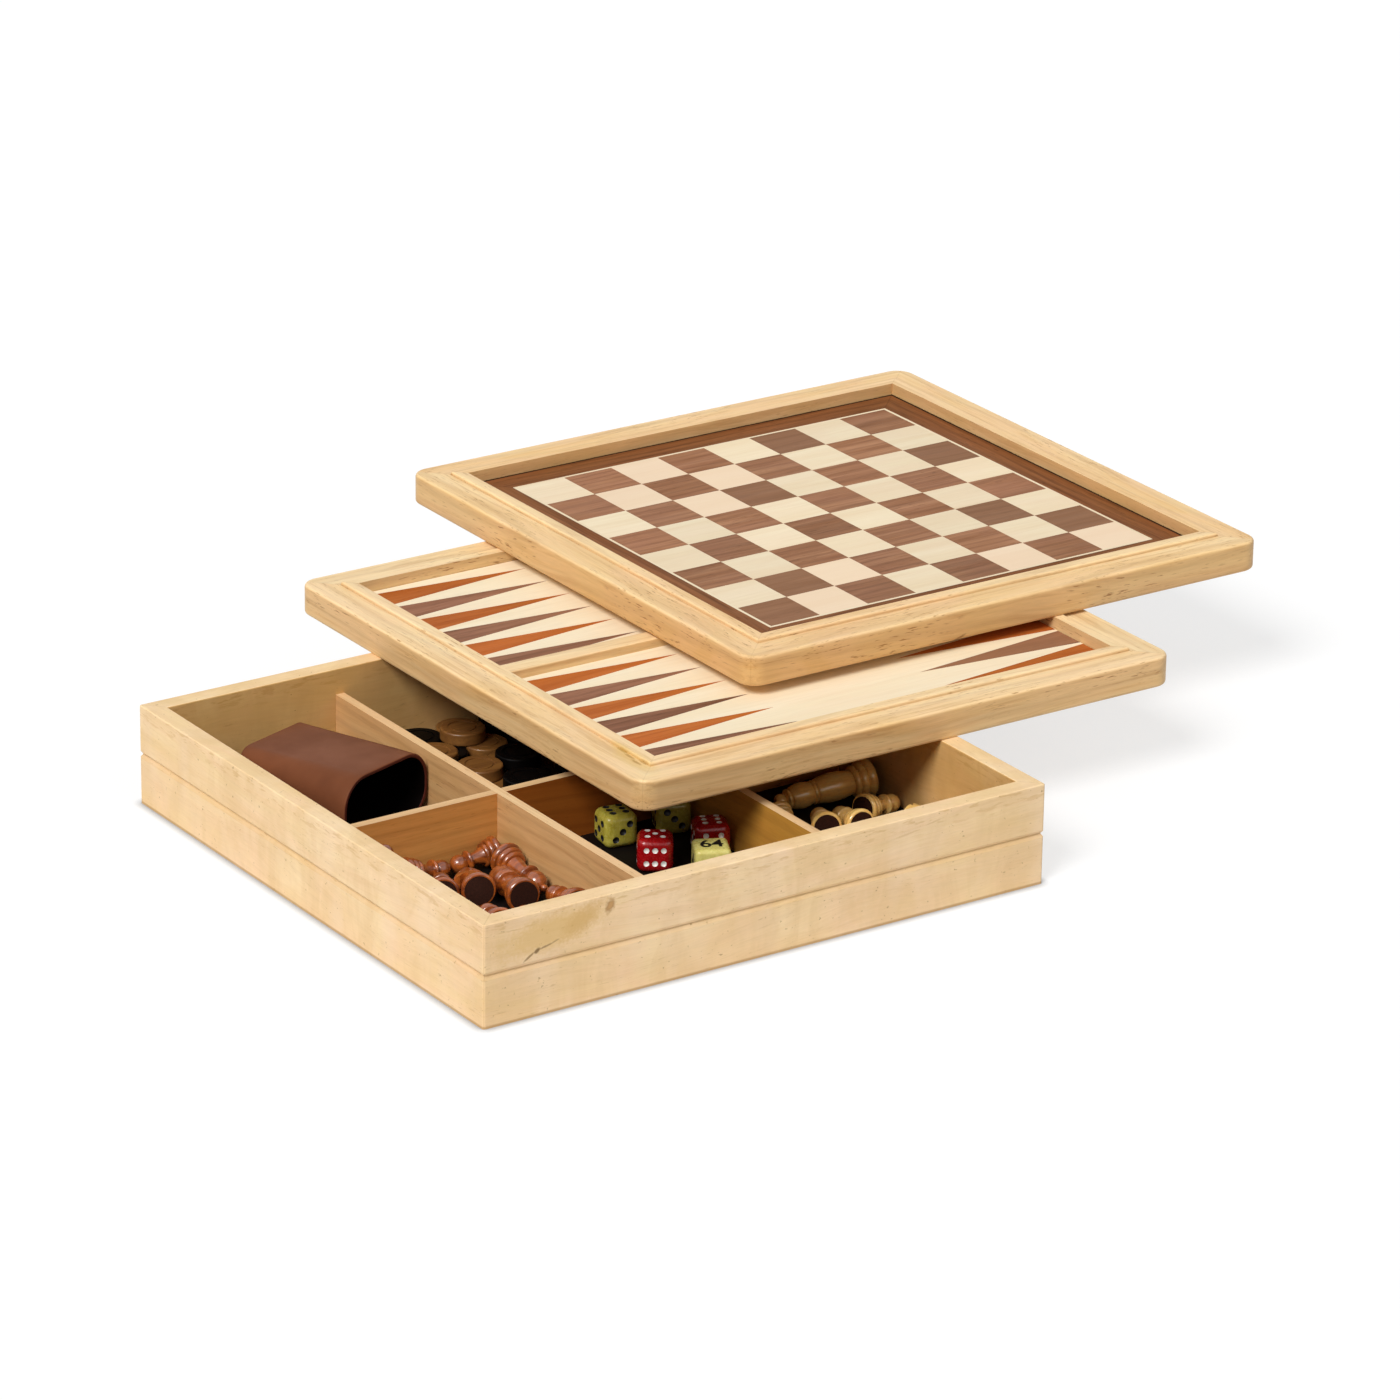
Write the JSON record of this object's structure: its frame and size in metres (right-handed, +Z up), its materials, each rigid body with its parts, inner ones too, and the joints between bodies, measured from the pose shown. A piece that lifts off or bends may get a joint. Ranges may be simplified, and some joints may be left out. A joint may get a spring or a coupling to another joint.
{
  "type": "games compendium box",
  "caption": "Divided wooden games tray holding chessmen, draughts, dice and leather dice cups, with framed backgammon and chess boards that stack on it as sliding lids.",
  "frame": {"origin": "centre of the tray's underside, on the surface it stands on", "axes": "+Z up, square to the boards; the tray's sides lie along X and Y, and the boards are drawn off towards +X and +Y; the front is -Y"},
  "size_m": [0.5088, 0.4168, 0.0794],
  "materials": {
    "tray_wood": "pale smooth-sanded beech-like hardwood, satin lacquer",
    "divider_wood": "thin pale hardwood strip, satin",
    "floor_ply": "pale plywood, satin",
    "board_wood": "honey coloured hardwood, satin lacquer",
    "maple_veneer": "cream maple veneer, satin",
    "walnut_veneer": "walnut veneer, satin",
    "orange_veneer": "orange red hardwood veneer, satin",
    "dark_men": "turned hardwood, red brown stain, glossy lacquer",
    "light_men": "turned boxwood, glossy lacquer",
    "natural_draughts": "turned hardwood, natural, glossy",
    "black_draughts": "turned hardwood, black stain, glossy",
    "cup_leather": "smooth brown bonded leather",
    "red_plastic": "translucent red resin, white pips",
    "lime_plastic": "lime green resin, black pips or number"
  },
  "bodies": {
    "tray": {"tray_right_wall": "tray_wood", "tray_back_wall": "tray_wood", "tray_left_wall": "tray_wood", "tray_front_wall": "tray_wood", "tray_floor": "floor_ply", "left_divider": "divider_wood", "right_divider": "divider_wood", "long_divider": "divider_wood", "dark_pawns": "dark_men", "dark_rooks": "dark_men", "dark_knights": "dark_men", "dark_bishops": "dark_men", "dark_queen": "dark_men", "dark_king": "dark_men", "light_pawns": "light_men", "light_rooks": "light_men", "light_knights": "light_men", "light_bishops": "light_men", "light_queen": "light_men", "light_king": "light_men", "natural_draughts": "natural_draughts", "black_draughts": "black_draughts"},
    "backgammon_board": {"backgammon_right_rail": "board_wood", "backgammon_back_rail": "board_wood", "backgammon_left_rail": "board_wood", "backgammon_front_rail": "board_wood", "backgammon_panel_core": "floor_ply", "backgammon_bar": "board_wood", "backgammon_field": "maple_veneer", "orange_points": "orange_veneer", "brown_points": "walnut_veneer"},
    "chess_board": {"chess_right_rail": "board_wood", "chess_back_rail": "board_wood", "chess_left_rail": "board_wood", "chess_front_rail": "board_wood", "chess_panel_core": "floor_ply", "chess_border": "walnut_veneer", "chess_line": "maple_veneer", "dark_squares": "walnut_veneer", "light_squares": "maple_veneer"},
    "left_cup": {"left_cup_wall": "cup_leather", "left_cup_base": "cup_leather"},
    "right_cup": {"right_cup_wall": "cup_leather", "right_cup_base": "cup_leather"},
    "left_red_die": {"left_red_die": "red_plastic"},
    "right_red_die": {"right_red_die": "red_plastic"},
    "left_lime_die": {"left_lime_die": "lime_plastic"},
    "right_lime_die": {"right_lime_die": "lime_plastic"},
    "doubling_cube": {"doubling_cube": "lime_plastic"}
  },
  "joints": [
    {"name": "backgammon_board_slide", "type": "slide", "parent": "tray", "child": "backgammon_board", "axis": [0.8824, 0.4706, 0], "range_m": [-0.136, 0]},
    {"name": "chess_board_slide", "type": "slide", "parent": "backgammon_board", "child": "chess_board", "axis": [0.8437, 0.5369, 0], "range_m": [-0.11735, 0]},
    {"name": "left_cup_slide", "type": "slide", "parent": "tray", "child": "left_cup", "axis": [0, 1, 0], "range_m": [-0.033, 0.019]},
    {"name": "right_cup_slide", "type": "slide", "parent": "tray", "child": "right_cup", "axis": [0, 1, 0], "range_m": [-0.038, 0.0095]},
    {"name": "left_red_die_slide", "type": "slide", "parent": "tray", "child": "left_red_die", "axis": [1, 0, 0], "range_m": [-0.034, 0]},
    {"name": "right_red_die_slide", "type": "slide", "parent": "tray", "child": "right_red_die", "axis": [1, 0, 0], "range_m": [-0.006, 0]},
    {"name": "left_lime_die_slide", "type": "slide", "parent": "tray", "child": "left_lime_die", "axis": [1, 0, 0], "range_m": [-0.035, 0]},
    {"name": "right_lime_die_slide", "type": "slide", "parent": "tray", "child": "right_lime_die", "axis": [1, 0, 0], "range_m": [-0.007, 0]},
    {"name": "doubling_cube_slide", "type": "slide", "parent": "tray", "child": "doubling_cube", "axis": [1, 0, 0], "range_m": [-0.047, 0.0145]}
  ]
}
